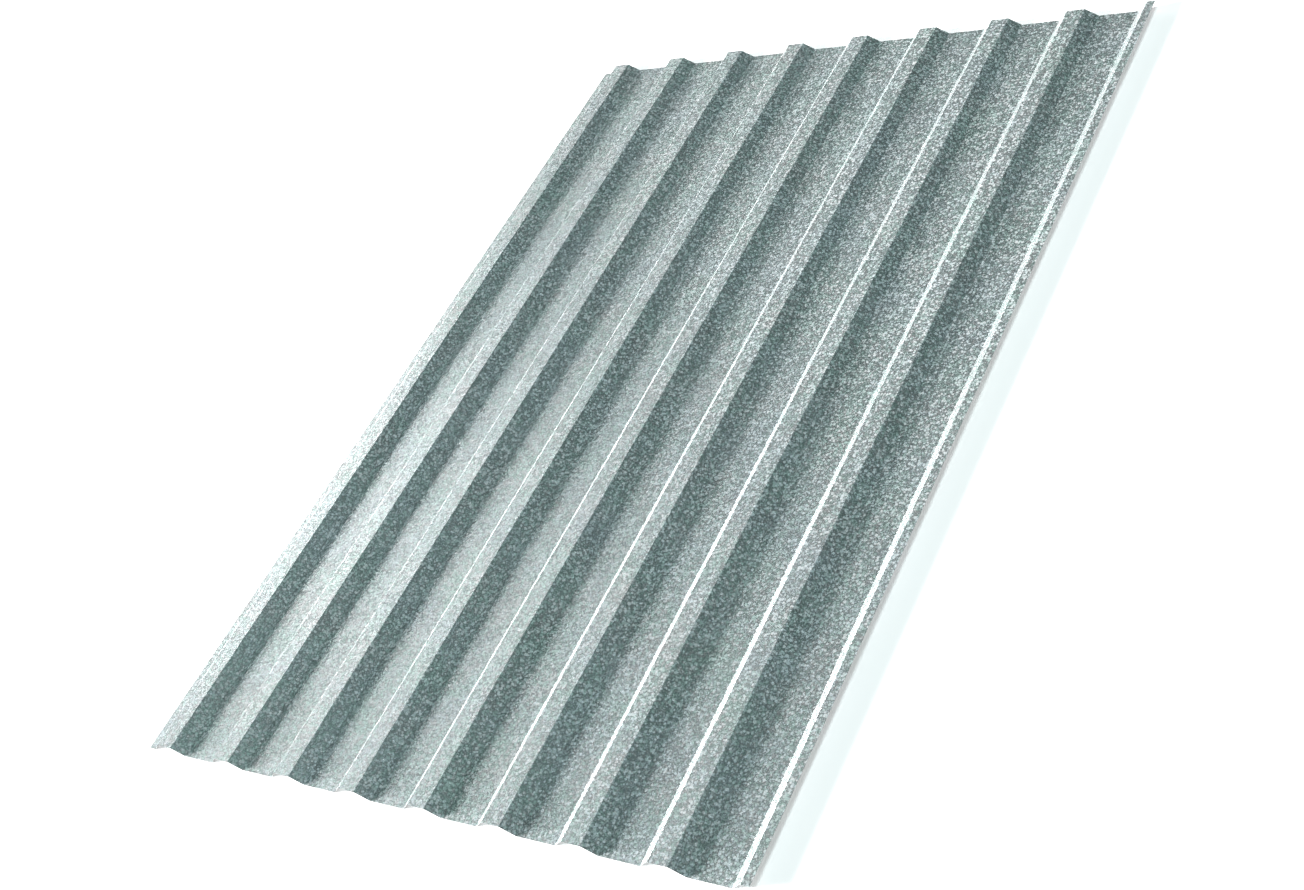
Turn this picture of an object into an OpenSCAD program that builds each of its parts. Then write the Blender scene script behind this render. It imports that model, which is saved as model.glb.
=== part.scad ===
// Trapezoidal roll-formed sheet of galvanized steel, for roofs, walls and fences.
// It lies flat: X runs across the ribs, Y along them and Z up, in millimetres.
// The origin is the middle of the sheet's footprint, on the plane it rests on.

/* [Profile] */
// Number of full ribs across the sheet
ribs = 8; // [3:1:12]
// Distance from one rib to the next
pitch = 137.5; // [110:0.5:180]
// Width of a rib's flat top, between the lines of its bends
crown_w = 32; // [24:0.5:45]
// Width of the flat between two ribs, between the lines of its bends
valley_w = 67.5; // [50:0.5:85]
// Overall height of the profile, from the underside of a valley to the top of a crown
profile_h = 17; // [8:0.5:24]
// Inside radius of every bend
bend_r = 2; // [1:0.25:4]

/* [Side laps] */
// Flat flange before the first rib, which goes under the next sheet
flange_w = 17; // [12:0.5:30]
// Half crown after the last web, which laps over the next sheet's first rib
lip_w = 14; // [10:0.5:22]

/* [Sheet] */
// Thickness of the steel with its zinc
sheet_t = 0.5; // [0.4:0.05:1.2]
// Length of the sheet along its ribs
sheet_l = 1600; // [500:10:6000]

/* [Hidden] */

// Horizontal run of one sloping web
web_run = (pitch - crown_w - valley_w) / 2;
// Width that one laid sheet covers, and the full width over both side laps
cover_w = ribs * pitch;
overall_w = flange_w + cover_w + web_run + lip_w;
// Rise of the sheet's middle surface from a valley to a crown
rise = profile_h - sheet_t;
// Radius of a bend at the middle surface
mid_r = bend_r + sheet_t / 2;
// Number of flat steps that stand for the curve of one bend
bend_steps = 6;

// Where the first web leaves the flange, and the height of a valley's middle surface
first_foot = flange_w - overall_w / 2;
valley_z = sheet_t / 2;
crown_z = valley_z + rise;

// The four bend lines of rib number i, from its left foot to its right foot
function rib_bends(i) =
    let (foot = first_foot + i * pitch)
    [
        [foot, valley_z],
        [foot + web_run, crown_z],
        [foot + web_run + crown_w, crown_z],
        [foot + 2 * web_run + crown_w, valley_z]
    ];

// The web after the last valley has a foot, and a top that the lip starts from
last_foot = first_foot + cover_w;
lap_bends = [[last_foot, valley_z], [last_foot + web_run, crown_z]];

// Middle surface of the sheet, with its bends as sharp corners
start_edge = [-overall_w / 2, valley_z];
end_edge = [overall_w / 2, crown_z];
all_bends = [for (i = [0 : ribs - 1]) each rib_bends(i), each lap_bends];
middle = [start_edge, each all_bends, end_edge];

// Direction of travel from one point to the next, in degrees
function heading(a, b) = atan2(b.y - a.y, b.x - a.x);
function polar(r, angle) = [r * cos(angle), r * sin(angle)];

// One bend at corner b, as seen on one face: side is 1 on the upper face and -1 on the lower
function bend_arc(a, b, c, side) =
    let (
        way_in = heading(a, b),
        turn = heading(b, c) - way_in,
        hand = sign(turn),
        centre = b + polar(mid_r / cos(turn / 2), way_in + turn / 2 + hand * 90),
        r = mid_r - side * hand * sheet_t / 2
    )
    [for (k = [0 : bend_steps]) centre + polar(r, way_in + turn * k / bend_steps - hand * 90)];

// Outline of one whole face of the sheet, from its left edge to its right edge
function face_line(side) =
    let (offset = [0, side * sheet_t / 2])
    [
        start_edge + offset,
        for (i = [1 : len(middle) - 2]) each bend_arc(middle[i - 1], middle[i], middle[i + 1], side),
        end_edge + offset
    ];

function reversed(points) = [for (i = [len(points) - 1 : -1 : 0]) points[i]];

// Cross-section of the sheet: its lower face from left to right, and its upper face back again
module cross_section() {
    polygon([each face_line(-1), each reversed(face_line(1))]);
}

module corrugated_sheet() {
    color([0.62, 0.68, 0.68])
        rotate([90, 0, 0])
            linear_extrude(height = sheet_l, center = true)
                cross_section();
}

corrugated_sheet();
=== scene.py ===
import math

import bpy
from bpy.props import FloatProperty, FloatVectorProperty, IntProperty, PointerProperty
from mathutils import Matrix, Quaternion, Vector


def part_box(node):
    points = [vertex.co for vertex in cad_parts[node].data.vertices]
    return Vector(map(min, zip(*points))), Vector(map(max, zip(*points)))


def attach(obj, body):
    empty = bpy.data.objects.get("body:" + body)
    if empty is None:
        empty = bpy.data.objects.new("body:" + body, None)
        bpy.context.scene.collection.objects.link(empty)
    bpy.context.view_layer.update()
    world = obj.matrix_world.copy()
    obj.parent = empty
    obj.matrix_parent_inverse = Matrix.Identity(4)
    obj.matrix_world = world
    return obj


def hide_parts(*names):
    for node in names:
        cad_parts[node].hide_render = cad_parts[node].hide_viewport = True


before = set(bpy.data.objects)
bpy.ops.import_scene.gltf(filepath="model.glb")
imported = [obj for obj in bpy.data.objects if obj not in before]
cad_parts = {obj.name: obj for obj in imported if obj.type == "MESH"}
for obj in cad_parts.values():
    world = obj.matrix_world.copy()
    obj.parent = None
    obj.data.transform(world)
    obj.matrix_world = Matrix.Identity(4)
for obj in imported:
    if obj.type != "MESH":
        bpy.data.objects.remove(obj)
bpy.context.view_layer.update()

bl_info = {
    "name": "Trapezoidal Corrugated Sheet",
    "version": (1, 0, 0),
    "blender": (4, 5, 0),
    "location": "3D View > Sidebar > Corrugated Sheet",
    "description": "Rolls a trapezoidal sheet of galvanized steel and lights it on a plain floor",
    "category": "Add Mesh",
}

NODE = "corrugated_sheet"
BODY = "root"
SLOT = "galvanized_steel"

# The sheet's own box, as packed in the model, and its size
SHEET_LOW, SHEET_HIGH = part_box(NODE)
SHEET_SIZE = Vector(SHEET_HIGH) - Vector(SHEET_LOW)

MM = 0.001

# What the sheet's mesh carries for its map and its finish
TRAVELLED = "travelled"
UNDERSIDE = "underside"
CUT_EDGE = "cut_edge"
# Faces on the crown bends, which are burnished and are also lightened as a painted highlight
RUBBED_AND_SHEEN = "rubbed_and_sheen"
BAKE_MAP = "OFBake"

# The tone of the zinc runs from 0, the dullest, to 1, the brightest
GROUND_TONE = 0.14
MEAN_TONE = 0.46


# ---------------------------------------------------------------- settings


class SheetProfile(bpy.types.PropertyGroup):
    """Sizes of the rolled section, which are the same as the solid model's."""

    ribs: IntProperty(name="Ribs", description="Number of full ribs across the sheet", default=8, min=1)
    pitch: FloatProperty(
        name="Pitch", description="Distance from one rib to the next", default=137.5 * MM, unit="LENGTH"
    )
    crown: FloatProperty(
        name="Crown",
        description="Width of a rib's flat top, between its bend lines",
        default=32 * MM,
        unit="LENGTH",
    )
    valley: FloatProperty(
        name="Valley", description="Width of the flat between two ribs", default=67.5 * MM, unit="LENGTH"
    )
    flange: FloatProperty(
        name="Flange", description="Flat strip before the first rib", default=17 * MM, unit="LENGTH"
    )
    thickness: FloatProperty(
        name="Thickness", description="Thickness of the steel with its zinc", default=0.5 * MM, unit="LENGTH"
    )
    bend: FloatProperty(
        name="Bend radius", description="Inside radius of every bend", default=2 * MM, unit="LENGTH"
    )
    width: FloatProperty(
        name="Width", description="Full width over both side laps", default=SHEET_SIZE.x, unit="LENGTH"
    )
    height: FloatProperty(
        name="Height", description="Height of the whole profile", default=SHEET_SIZE.z, unit="LENGTH"
    )
    length: FloatProperty(
        name="Length", description="Length of the sheet along its ribs", default=SHEET_SIZE.y, unit="LENGTH"
    )
    bend_steps: IntProperty(
        name="Bend steps", description="Flat steps that make up one bend", default=8, min=2
    )
    length_steps: IntProperty(
        name="Length steps", description="Faces along the sheet", default=32, min=1
    )


class ZincFinish(bpy.types.PropertyGroup):
    """Colours and grain of the hot-dip zinc."""

    dark: FloatVectorProperty(
        name="Dark zinc",
        description="Colour of the dullest zinc, between the crystals",
        subtype="COLOR",
        default=(0.215, 0.24, 0.24),
        min=0,
        max=1,
    )
    light: FloatVectorProperty(
        name="Light zinc",
        description="Colour of the brightest crystals",
        subtype="COLOR",
        default=(0.95, 1.0, 1.0),
        min=0,
        max=1,
    )
    green: FloatVectorProperty(
        name="Green tint",
        description="Tint of one kind of cloudy patch",
        subtype="COLOR",
        default=(0.85, 1.0, 0.94),
        min=0,
        max=1,
    )
    rose: FloatVectorProperty(
        name="Rose tint",
        description="Tint of the patches between the green ones",
        subtype="COLOR",
        default=(1.0, 0.955, 0.955),
        min=0,
        max=1,
    )
    blue: FloatVectorProperty(
        name="Blue tint",
        description="Tint of a third kind of patch",
        subtype="COLOR",
        default=(0.92, 0.955, 1.0),
        min=0,
        max=1,
    )
    steel: FloatVectorProperty(
        name="Cut steel",
        description="Colour of the bare steel on the cut edges",
        subtype="COLOR",
        default=(0.40, 0.40, 0.39),
        min=0,
        max=1,
    )
    grain: FloatProperty(
        name="Grain size", description="Width of one large crystal", default=4.4 * MM, unit="LENGTH"
    )
    patch: FloatProperty(
        name="Patch size", description="Width of the cloudy patches of tint", default=80 * MM, unit="LENGTH"
    )
    # The burnished stretches along the crown bends are also a painted highlight
    rub_length: FloatProperty(
        name="Rub length",
        description="Length of a burnished stretch of a bend",
        default=45 * MM,
        unit="LENGTH",
    )
    scratch_length: FloatProperty(
        name="Scratch length",
        description="Length of the longest fine scratches",
        default=60 * MM,
        unit="LENGTH",
    )
    relief: FloatProperty(
        name="Relief",
        description="Height of the bright crystals above the dull zinc",
        default=0.03 * MM,
        unit="LENGTH",
    )
    roughness: FloatProperty(
        name="Roughness",
        description="Mean roughness of the zinc",
        subtype="FACTOR",
        default=0.37,
        min=0,
        max=1,
    )
    metal: FloatProperty(
        name="Metal share",
        description="How much of the surface shines as bare metal and isn't dulled",
        subtype="FACTOR",
        default=0.75,
        min=0,
        max=1,
    )


class StudioSettings(bpy.types.PropertyGroup):
    """Floor, lights and the camera's place."""

    floor: FloatVectorProperty(
        name="Floor",
        description="Colour of the floor",
        subtype="COLOR",
        default=(0.97, 0.90, 0.90),
        min=0,
        max=1,
    )
    glow: FloatProperty(
        name="Floor glow",
        description="Light that the floor gives off, as a light table does",
        default=0.3,
        min=0,
    )
    dome: FloatVectorProperty(
        name="Dome",
        description="Colour of the light from all round",
        subtype="COLOR",
        default=(0.80, 1.0, 1.0),
        min=0,
        max=1,
    )
    dome_strength: FloatProperty(
        name="Dome strength", description="Brightness of the dome", default=0.17, min=0
    )
    backdrop: FloatVectorProperty(
        name="Backdrop",
        description="Colour that shows behind the floor",
        subtype="COLOR",
        default=(0.97, 0.97, 0.97),
        min=0,
        max=1,
    )
    lamp: FloatVectorProperty(
        name="Lamps",
        description="Colour of every lamp except the high one",
        subtype="COLOR",
        default=(1.0, 0.96, 0.96),
        min=0,
        max=1,
    )
    key: FloatProperty(
        name="Key", description="Strength of the main light, from the left", default=4.9, min=0
    )
    rake: FloatProperty(
        name="Rake", description="Strength of the low light under the key", default=8.5, min=0
    )
    fill: FloatProperty(
        name="Fill", description="Strength of the broad light beside the key", default=0.88, min=0
    )
    edge: FloatProperty(
        name="Edge", description="Strength of the low light at the far left", default=0.11, min=0
    )
    back: FloatProperty(
        name="Back", description="Strength of the faint high light behind", default=0.045, min=0
    )
    top: FloatProperty(
        name="Top", description="Strength of the high light that thins shadows", default=1.9, min=0
    )
    lens: FloatProperty(
        name="Lens", description="Focal length of the camera, in millimetres", default=48.83
    )
    roll: FloatProperty(
        name="Roll",
        description="Turn of the camera about its own axis",
        default=math.radians(-34.71),
        unit="ROTATION",
    )
    eye: FloatVectorProperty(
        name="Camera place",
        description="Where the camera stands",
        default=(1.726, -1.4595, 1.6293),
        unit="LENGTH",
    )
    aim: FloatVectorProperty(
        name="Camera aim",
        description="Point on the floor that the camera faces",
        default=(0.0625, -0.145, 0.0),
        unit="LENGTH",
    )


# ------------------------------------------------------------- node graphs


class Signal:
    """An output socket. Each operator used on it adds Math nodes to its graph."""

    def __init__(self, graph, socket):
        self.graph = graph
        self.socket = socket

    def __add__(self, other):
        return self.graph.maths("ADD", self, other)

    __radd__ = __add__

    def __sub__(self, other):
        return self.graph.maths("SUBTRACT", self, other)

    def __rsub__(self, other):
        return self.graph.maths("SUBTRACT", other, self)

    def __mul__(self, other):
        return self.graph.maths("MULTIPLY", self, other)

    __rmul__ = __mul__

    def __truediv__(self, other):
        return self.graph.maths("DIVIDE", self, other)

    def __neg__(self):
        return self.graph.maths("MULTIPLY", self, -1.0)

    def __lt__(self, other):
        return self.graph.maths("LESS_THAN", self, other)

    def __gt__(self, other):
        return self.graph.maths("GREATER_THAN", self, other)

    def __mod__(self, other):
        return self.graph.maths("FLOORED_MODULO", self, other)

    def __floordiv__(self, other):
        return self.graph.maths("FLOOR", self / other)


class Graph:
    """A node tree that is written as expressions."""

    def __init__(self, tree):
        self.tree = tree
        tree.nodes.clear()

    def add(self, kind, settings=None, inputs=None, output=0):
        """Adds a node, sets what it is before its sockets, and gives one of its outputs."""
        node = self.tree.nodes.new(kind)
        for name, value in (settings or {}).items():
            setattr(node, name, value)
        for key, value in (inputs or {}).items():
            if isinstance(value, Signal):
                self.tree.links.new(value.socket, node.inputs[key])
            else:
                node.inputs[key].default_value = value
        return Signal(self, node.outputs[output]) if len(node.outputs) else node

    def other(self, signal, output):
        """Another output of the node that a signal comes from."""
        return Signal(self, signal.socket.node.outputs[output])

    def maths(self, operation, *values):
        return self.add("ShaderNodeMath", {"operation": operation}, dict(enumerate(values)))

    def clamp(self, value, low, high):
        return self.maths("MINIMUM", self.maths("MAXIMUM", value, low), high)

    def vector(self, x=0.0, y=0.0, z=0.0):
        return self.add("ShaderNodeCombineXYZ", None, {"X": x, "Y": y, "Z": z})

    def vectors(self, operation, *values):
        return self.add("ShaderNodeVectorMath", {"operation": operation}, dict(enumerate(values)))

    def scale(self, vector, factor):
        return self.add("ShaderNodeVectorMath", {"operation": "SCALE"}, {"Vector": vector, "Scale": factor})

    def attribute(self, name):
        """A number that the mesh carries."""
        return self.add("ShaderNodeAttribute", {"attribute_name": name}, None, "Fac")

    def ramp(self, value, low, high, start=0.0, end=1.0):
        """Carries a value from low..high to start..end, and stops at both ends."""
        places = {"Value": value, "From Min": low, "From Max": high, "To Min": start, "To Max": end}
        return self.add("ShaderNodeMapRange", None, places)

    def blend(self, factor, first, second, mode="MIX"):
        """Mixes two colours."""
        settings = {"data_type": "RGBA", "blend_type": mode}
        return self.add("ShaderNodeMix", settings, {0: factor, 6: first, 7: second}, 2)

    def noise(self, place, scale, detail=2.0, output="Fac"):
        """Soft noise about 0.5, as one number or as a colour."""
        places = {"Vector": place, "Scale": scale, "Detail": detail}
        return self.add("ShaderNodeTexNoise", None, places, output)

    def spots(self, place, scale):
        """Round spots of many sizes, one to a cell at most, and a random value for each cell."""
        smallest, spread, sharpness = 0.3, 0.4, 5.0
        cells = self.add("ShaderNodeTexVoronoi", None, {"Vector": place, "Scale": scale}, "Color")
        reach = self.other(cells, "Distance")
        size = self.add("ShaderNodeSeparateColor", None, {"Color": cells}, "Red")
        spot = self.clamp((smallest + spread * size - reach) * sharpness, 0.0, 1.0)
        return spot, self.other(size, "Green")

    def scratches(self, place, length):
        """Sparse thin lines that run along Y, give or take a few degrees."""
        spacing = 0.25 * length
        half_width = 0.15 * MM / spacing
        half_length, end_fade = 0.4, 8.0
        bare_share = 0.8

        # A line runs through the middle of a long cell, and most cells have none
        scaled = self.vectors("MULTIPLY", place, self.vector(1 / spacing, 1 / length, 0.0))
        cells = self.add(
            "ShaderNodeTexVoronoi", {"voronoi_dimensions": "2D"}, {"Vector": scaled, "Scale": 1.0}, "Color"
        )
        from_middle = self.vectors("SUBTRACT", scaled, self.other(cells, "Position"))
        away = self.add("ShaderNodeSeparateXYZ", None, {"Vector": from_middle}, "X")
        chance = self.add("ShaderNodeSeparateColor", None, {"Color": cells}, "Red")
        slant = self.other(chance, "Green") - 0.5
        aside = self.maths("ABSOLUTE", away + slant * self.other(away, "Y"))
        ahead = self.maths("ABSOLUTE", self.other(away, "Y"))
        across = self.clamp(2.0 - aside / half_width, 0.0, 1.0)
        along = self.clamp((half_length - ahead) * end_fade, 0.0, 1.0)
        return across * along * (chance > bare_share)


# --------------------------------------------------------------- the sheet


def sheet_tree(material):
    """Geometry nodes that lay out the section's corners by rule, round them and draw the section along Y."""
    tree = bpy.data.node_groups.new("roll_formed_sheet", "GeometryNodeTree")
    kinds = {"Ribs": "NodeSocketInt", "Bend steps": "NodeSocketInt", "Length steps": "NodeSocketInt"}
    lengths = ("Pitch", "Crown", "Valley", "Flange", "Thickness", "Bend", "Width", "Height", "Length")
    kinds.update({name: "NodeSocketFloat" for name in lengths})
    for name, kind in kinds.items():
        tree.interface.new_socket(name, in_out="INPUT", socket_type=kind)
    tree.interface.new_socket("Geometry", in_out="OUTPUT", socket_type="NodeSocketGeometry")

    g = Graph(tree)
    given = g.add("NodeGroupInput")
    ribs, bend_steps, length_steps, pitch, crown, valley, flange, thickness, bend, width, height, length = (
        g.other(given, name) for name in kinds
    )

    web = (pitch - crown - valley) / 2
    rise = height - thickness
    half_turn = g.maths("ARCTANGENT", rise / web) / 2

    # Four corners a rib, two for the last web and two free edges: first along the upper face, then back
    # below. Whole numbers are compared with a half between them, so that rounding can't upset the test.
    corners = 4 * ribs + 4
    index = g.add("GeometryNodeInputIndex")
    below = index > corners - 0.5
    place = g.add(
        "GeometryNodeSwitch",
        {"input_type": "FLOAT"},
        {"Switch": below, "False": index, "True": 2 * corners - 1 - index},
    )
    side = 1 - 2 * below
    count = place - 1
    rib = count // 4
    corner = count % 4
    after_rise = corner > 0.5
    after_crown = corner > 1.5
    after_fall = corner > 2.5

    # A corner moves along its mitre, so that the sheet has one thickness on flats and webs alike
    mitre = thickness / 2 * g.maths("TANGENT", half_turn)
    lean = 2 * after_crown - 1
    from_foot = after_rise * web + after_crown * crown + after_fall * web
    across = flange - width / 2 + rib * pitch + from_foot + side * lean * mitre
    is_top = after_rise - after_fall
    up = thickness / 2 + rise * is_top + side * thickness / 2

    # An outer corner of the sheet has the thickness added to its radius, and a free edge isn't rounded
    outer = g.maths("ABSOLUTE", is_top - below)
    free_edge = (place < 0.5) + (place > corners - 1.5)
    radius = (bend + thickness * outer) * (1 - free_edge)

    line = g.add("GeometryNodeMeshLine", None, {"Count": 2 * corners})
    outline = g.add("GeometryNodeMeshToCurve", None, {"Mesh": line})
    outline = g.add(
        "GeometryNodeStoreNamedAttribute", None, {"Geometry": outline, "Name": UNDERSIDE, "Value": below}
    )
    outline = g.add(
        "GeometryNodeSetPosition",
        None,
        {"Geometry": outline, "Position": g.vector(g.clamp(across, -width / 2, width / 2), up)},
    )
    outline = g.add("GeometryNodeSetSplineCyclic", None, {"Geometry": outline, "Cyclic": True})
    outline = g.add(
        "GeometryNodeFilletCurve", {"mode": "POLY"}, {"Curve": outline, "Radius": radius, "Count": bend_steps}
    )
    travelled = g.add("GeometryNodeSplineParameter", None, None, "Length")
    outline = g.add(
        "GeometryNodeStoreNamedAttribute", None, {"Geometry": outline, "Name": TRAVELLED, "Value": travelled}
    )

    # The outline runs clockwise, so its faces are flipped to point outwards
    ends = {"Start": g.vector(z=-length / 2), "End": g.vector(z=length / 2)}
    path = g.add("GeometryNodeCurvePrimitiveLine", None, ends)
    path = g.add("GeometryNodeResampleCurve", None, {"Curve": path, "Count": length_steps + 1})
    sheet = g.add(
        "GeometryNodeCurveToMesh", None, {"Curve": path, "Profile Curve": outline, "Fill Caps": True}
    )
    sheet = g.add("GeometryNodeFlipFaces", None, {"Mesh": sheet})
    sheet = g.add("GeometryNodeTransform", None, {"Geometry": sheet, "Rotation": (math.pi / 2, 0.0, 0.0)})
    sheet = g.add("GeometryNodeRealizeInstances", None, {"Geometry": sheet})
    sheet = g.add("GeometryNodeSetMaterial", None, {"Geometry": sheet, "Material": material})
    g.add("NodeGroupOutput", None, {"Geometry": sheet})
    return tree


def settled(context, maker):
    """The plain mesh that an object's modifiers make. The object itself is removed."""
    graph = context.evaluated_depsgraph_get()
    mesh = bpy.data.meshes.new_from_object(maker.evaluated_get(graph), depsgraph=graph)
    bpy.data.objects.remove(maker)
    return mesh


def part_of_sheet(face, underside):
    """Where a face lies: on the upper face, on the underside, on a cut end or on a cut edge."""
    below = sum(underside[v] for v in face.vertices) / len(face.vertices)
    if abs(face.normal.y) > 0.5:
        return "end"
    if 0.01 < below < 0.99:
        return "edge"
    return "underside" if below > 0.5 else "upper"


def is_crown_bend(face):
    """Whether a face is on the round of a bend beside a crown, and not on the crown or on a web."""
    flat_lean, web_lean, bend_depth = 0.02, 0.64, 2 * MM
    return flat_lean < abs(face.normal.x) < web_lean and face.center.z > SHEET_HIGH[2] - bend_depth


def mark_parts(mesh):
    """Marks the cut steel and the crown bends, which carry burnish and a painted highlight, keeps cut faces
    flat, and lists the part of each face.
    """
    underside = [item.value for item in mesh.attributes[UNDERSIDE].data]
    parts = [part_of_sheet(face, underside) for face in mesh.polygons]
    cut = mesh.attributes.new(CUT_EDGE, "FLOAT", "FACE")
    rubbed_and_sheen = mesh.attributes.new(RUBBED_AND_SHEEN, "FLOAT", "FACE")
    for face, part in zip(mesh.polygons, parts):
        is_cut = part in ("end", "edge")
        cut.data[face.index].value = float(is_cut)
        # Crown bends are marked for burnish and for a painted highlight along them
        rubbed_and_sheen.data[face.index].value = float(part == "upper" and is_crown_bend(face))
        face.use_smooth = not is_cut
    return parts


def lay_out_map(mesh, parts):
    """Unrolls the sheet on its bake map: the upper face at full width, the underside narrowed beside it."""
    margin, map_length, both_faces = 0.01, 0.98, 0.93
    near_end, far_end, end_breadth = 0.955, 0.970, 0.01
    left_edge, right_edge, edge_breadth = 0.985, 0.992, 0.003

    travelled = [item.value for item in mesh.attributes[TRAVELLED].data]
    underside = [item.value for item in mesh.attributes[UNDERSIDE].data]
    whole_way = max(travelled)
    half_way = whole_way / 2
    scale = map_length / SHEET_SIZE.y
    upper_width = half_way * scale
    under_width = both_faces - upper_width
    upper_start = margin / 2
    under_start = upper_start + upper_width + margin
    layer = mesh.uv_layers.new(name=BAKE_MAP, do_init=False)
    for face, part in zip(mesh.polygons, parts):
        for corner, v in zip(face.loop_indices, face.vertices):
            place = mesh.vertices[v].co
            along = margin + (place.y - SHEET_LOW[1]) * scale
            if part == "end":
                strip = near_end if face.normal.y < 0 else far_end
                across = strip + end_breadth * place.z / SHEET_SIZE.z
                along = margin + map_length * (place.x - SHEET_LOW[0]) / SHEET_SIZE.x
            elif part == "edge":
                strip = left_edge if place.x < 0 else right_edge
                across = strip + edge_breadth * underside[v]
            elif part == "underside":
                across = under_start + under_width * (whole_way - travelled[v]) / half_way
            else:
                across = upper_start + scale * travelled[v]
            layer.uv[corner].vector = (across, along)


class SHEET_OT_roll(bpy.types.Operator):
    """Roll the sheet: one piece of galvanized steel with its ribs, flange and lip"""

    bl_idname = "corrugated.roll_sheet"
    bl_label = "Roll the sheet"

    def execute(self, context):
        profile = context.scene.sheet_profile
        tree = sheet_tree(galvanized_steel(context.scene.zinc_finish))
        blank = bpy.data.objects.new("blank", bpy.data.meshes.new("blank"))
        context.scene.collection.objects.link(blank)
        rolling = blank.modifiers.new("Roll", "NODES")
        rolling.node_group = tree

        # Each input has the name of the size that it takes
        for item in tree.interface.items_tree:
            if item.in_out == "INPUT":
                rolling[item.identifier] = getattr(profile, item.name.lower().replace(" ", "_"))
        mesh = settled(context, blank)
        parts = mark_parts(mesh)
        lay_out_map(mesh, parts)

        # The flats keep their own direction where they meet a round bend
        shaded = bpy.data.objects.new("shaded", mesh)
        context.scene.collection.objects.link(shaded)
        weighing = shaded.modifiers.new("Weigh", "WEIGHTED_NORMAL")
        weighing.keep_sharp = True
        sheet = bpy.data.objects.new("galvanized_sheet", settled(context, shaded))
        context.scene.collection.objects.link(sheet)
        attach(sheet, BODY)
        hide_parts(NODE)
        return {"FINISHED"}


# -------------------------------------------------------------- the finish


def galvanized_steel(finish):
    """Hot-dip zinc with a fine spangle."""
    material = bpy.data.materials.new(SLOT)
    material.use_nodes = True
    g = Graph(material.node_tree)
    place = g.add("ShaderNodeTexCoord", None, None, "Object")

    # Bright crystals of two sizes with wavy edges on a duller ground, and fine flecks over both
    wobble = g.noise(place, 1.6 / finish.grain, 1.0, "Color")
    bent = g.vectors("ADD", place, g.scale(wobble, 0.35 * finish.grain))
    large, hue = g.spots(bent, 1 / finish.grain)
    small, glint = g.spots(bent, 2.2 / finish.grain)
    flecks = g.noise(place, 3 / finish.grain) - 0.5
    tone = GROUND_TONE + large * (0.3 + 0.55 * hue) + small * (0.15 + 0.6 * glint) + 0.7 * flecks

    # Clouds make the crystals stand out more or less, and tint the zinc green, rose or blue
    cloud = g.noise(place, 1 / finish.patch, 2.0, "Color")
    red_part = g.add("ShaderNodeSeparateColor", None, {"Color": cloud}, "Red")
    green_part = g.other(red_part, "Green")
    blue_part = g.other(red_part, "Blue")
    boldness = g.ramp(blue_part, 0.35, 0.65, 0.88, 1.08)
    warm = g.ramp(0.7 * red_part + 0.55 * hue - 0.125, 0.32, 0.68)
    cold = g.ramp(0.7 * green_part + 0.5 * glint - 0.1, 0.42, 0.75)
    tint = g.blend(warm, (*finish.green, 1), (*finish.rose, 1))
    tint = g.blend(cold, tint, (*finish.blue, 1))

    # Handling has burnished the outer bends in places and left a few fine scratches. The lighter crown bends
    # are also a painted highlight, standing in for the light that catches their rounds.
    rub_and_sheen = g.attribute(RUBBED_AND_SHEEN) * g.ramp(g.noise(place, 1 / finish.rub_length), 0.45, 0.65)
    marks = g.scratches(place, finish.scratch_length)
    # The scratches are real wear; the lighter crown bends are partly real burnish and partly a painted
    # highlight
    wear_and_sheen = 0.25 * rub_and_sheen + 0.4 * marks
    tone = g.clamp(MEAN_TONE + (tone - MEAN_TONE) * boldness + wear_and_sheen, 0.0, 1.0)
    zinc = g.blend(tone, (*finish.dark, 1), (*finish.light, 1))
    zinc = g.blend(1.0, zinc, tint, "MULTIPLY")
    colour = g.blend(g.attribute(CUT_EDGE), zinc, (*finish.steel, 1))

    # A dull crystal shines broadly as metal, and a bright one sharply, with more white bloom on it
    dullness = MEAN_TONE - tone
    roughness = finish.roughness + 0.28 * dullness - 0.1 * rub_and_sheen
    metal = finish.metal + 0.4 * dullness
    relief = g.add(
        "ShaderNodeBump", None, {"Strength": 0.5, "Distance": finish.relief, "Height": tone - marks}
    )
    shader = g.add(
        "ShaderNodeBsdfPrincipled",
        None,
        {"Base Color": colour, "Metallic": metal, "Roughness": roughness, "Normal": relief},
    )
    g.add("ShaderNodeOutputMaterial", None, {"Surface": shader})
    return material


def plain_floor(colour, glow):
    """Matt pale floor that glows a little, so that shadows on it stay thin."""
    dimmed = [0.985 * part for part in colour]
    material = bpy.data.materials.new("studio_floor")
    material.use_nodes = True
    g = Graph(material.node_tree)
    place = g.add("ShaderNodeTexCoord", None, None, "Object")
    tone = g.blend(g.noise(place, 0.8), (*dimmed, 1), (*colour, 1))
    shader = g.add(
        "ShaderNodeBsdfPrincipled",
        None,
        {"Base Color": tone, "Roughness": 0.9, "Emission Color": (1, 1, 1, 1), "Emission Strength": glow},
    )
    g.add("ShaderNodeOutputMaterial", None, {"Surface": shader})
    return material


# --------------------------------------------------------------- the stage


def aimed(place, target, roll=0.0):
    """Rotation of a camera or a light at a place that faces a target, rolled about its own axis."""
    facing = (Vector(target) - Vector(place)).to_track_quat("-Z", "Y")
    return facing @ Quaternion((0, 0, 1), roll)


def add_far_light(name, bearing, height, breadth, strength, colour):
    """A softbox far off. Its bearing runs from -X to +Y and its height is above the floor, in degrees."""
    lamp = bpy.data.lights.new(name, "SUN")
    lamp.angle = math.radians(breadth)
    lamp.energy = strength
    lamp.color = colour
    turn = math.radians(bearing)
    rise = math.radians(height)
    level = math.cos(rise)
    place = Vector((-level * math.cos(turn), level * math.sin(turn), math.sin(rise)))
    light = bpy.data.objects.new(name, lamp)
    light.location = 5 * place
    light.rotation_mode = "QUATERNION"
    light.rotation_quaternion = aimed(place, (0, 0, 0))
    bpy.context.scene.collection.objects.link(light)


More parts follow.
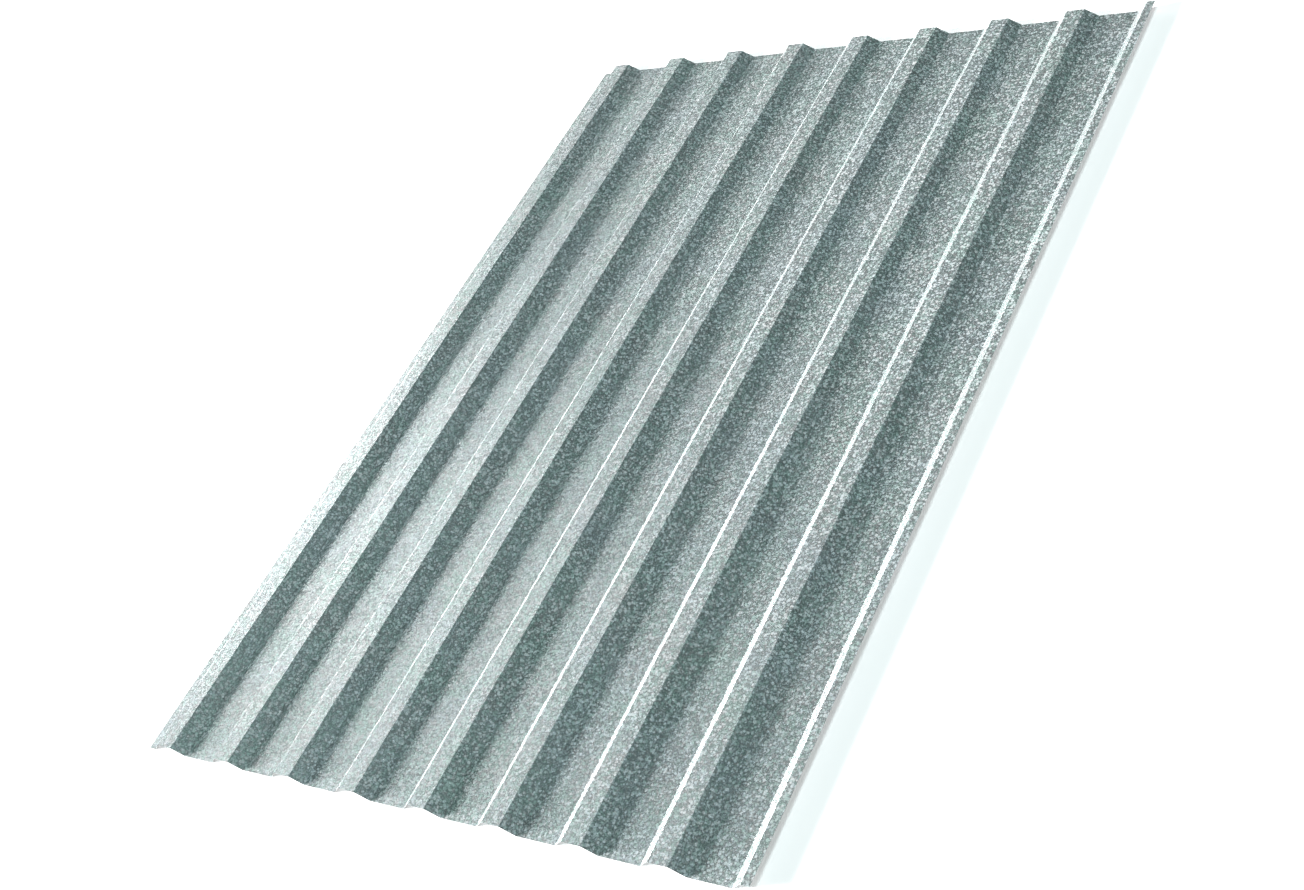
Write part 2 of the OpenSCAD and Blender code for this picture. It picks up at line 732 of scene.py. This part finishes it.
def set_dome(scene, colour, strength, backdrop):
    """Even light from all round, behind a pale backdrop."""
    world = bpy.data.worlds.new("studio_dome")
    scene.world = world
    world.use_nodes = True
    g = Graph(world.node_tree)
    light = g.add("ShaderNodeBackground", None, {"Color": (*colour, 1), "Strength": strength})
    seen = g.add("ShaderNodeBackground", None, {"Color": (*backdrop, 1), "Strength": 1.0})
    in_view = g.add("ShaderNodeLightPath", None, None, "Is Camera Ray")
    both = g.add("ShaderNodeMixShader", None, {0: in_view, 1: light, 2: seen})
    g.add("ShaderNodeOutputWorld", None, {"Surface": both})


def add_floor(scene, material):
    """A wide flat floor, just clear of the sheet's underside."""
    reach, clearance = 14.0, 0.1 * MM
    ground = SHEET_LOW[2] - clearance
    corners = [(x * reach, y * reach, ground) for x, y in ((-1, -1), (1, -1), (1, 1), (-1, 1))]
    mesh = bpy.data.meshes.new("floor")
    mesh.from_pydata(corners, [], [(0, 1, 2, 3)])
    mesh.materials.append(material)
    floor = bpy.data.objects.new("floor", mesh)
    scene.collection.objects.link(floor)


def add_camera(scene, studio):
    """The camera, at its place and facing its aim."""
    lens = bpy.data.cameras.new("camera")
    lens.lens = studio.lens
    lens.sensor_width = 36
    camera = bpy.data.objects.new("camera", lens)
    camera.location = studio.eye
    camera.rotation_mode = "QUATERNION"
    camera.rotation_quaternion = aimed(studio.eye, studio.aim, studio.roll)
    scene.collection.objects.link(camera)
    scene.camera = camera


class SHEET_OT_studio(bpy.types.Operator):
    """Set up the studio: a plain floor, soft lights and the camera"""

    bl_idname = "corrugated.set_studio"
    bl_label = "Set up the studio"

    def execute(self, context):
        scene = context.scene
        studio = scene.studio_settings
        add_floor(scene, plain_floor(studio.floor, studio.glow))
        add_far_light("key_light", -20, 20, 9, studio.key, studio.lamp)
        add_far_light("rake_light", -20, 8, 9, studio.rake, studio.lamp)
        add_far_light("fill_light", 25, 17, 18, studio.fill, studio.lamp)
        add_far_light("edge_light", 42, 12, 8, studio.edge, studio.lamp)
        add_far_light("back_light", 53, 35, 18, studio.back, studio.lamp)
        add_far_light("top_light", -120, 65, 20, studio.top, studio.dome)
        set_dome(scene, studio.dome, studio.dome_strength, studio.backdrop)
        add_camera(scene, studio)
        scene.view_settings.view_transform = "Standard"
        return {"FINISHED"}


# --------------------------------------------------------------- the panel


class SHEET_PT_sidebar(bpy.types.Panel):
    """Lists the steps and the sizes that they use"""

    bl_idname = "SHEET_PT_sidebar"
    bl_label = "Corrugated Sheet"
    bl_space_type = "VIEW_3D"
    bl_region_type = "UI"
    bl_category = "Corrugated Sheet"

    def draw(self, context):
        for step in (SHEET_OT_roll, SHEET_OT_studio):
            self.layout.operator(step.bl_idname)
        for settings in SETTINGS:
            group = getattr(context.scene, settings)
            box = self.layout.box()
            for name in group.__annotations__:
                box.prop(group, name)


SETTINGS = {"sheet_profile": SheetProfile, "zinc_finish": ZincFinish, "studio_settings": StudioSettings}
CLASSES = (*SETTINGS.values(), SHEET_OT_roll, SHEET_OT_studio, SHEET_PT_sidebar)


def register():
    for cls in CLASSES:
        bpy.utils.register_class(cls)
    for name, group in SETTINGS.items():
        setattr(bpy.types.Scene, name, PointerProperty(type=group))


def unregister():
    for name in SETTINGS:
        delattr(bpy.types.Scene, name)
    for cls in reversed(CLASSES):
        bpy.utils.unregister_class(cls)


def main():
    register()
    bpy.ops.corrugated.roll_sheet()
    bpy.ops.corrugated.set_studio()


if __name__ == "__main__":
    main()
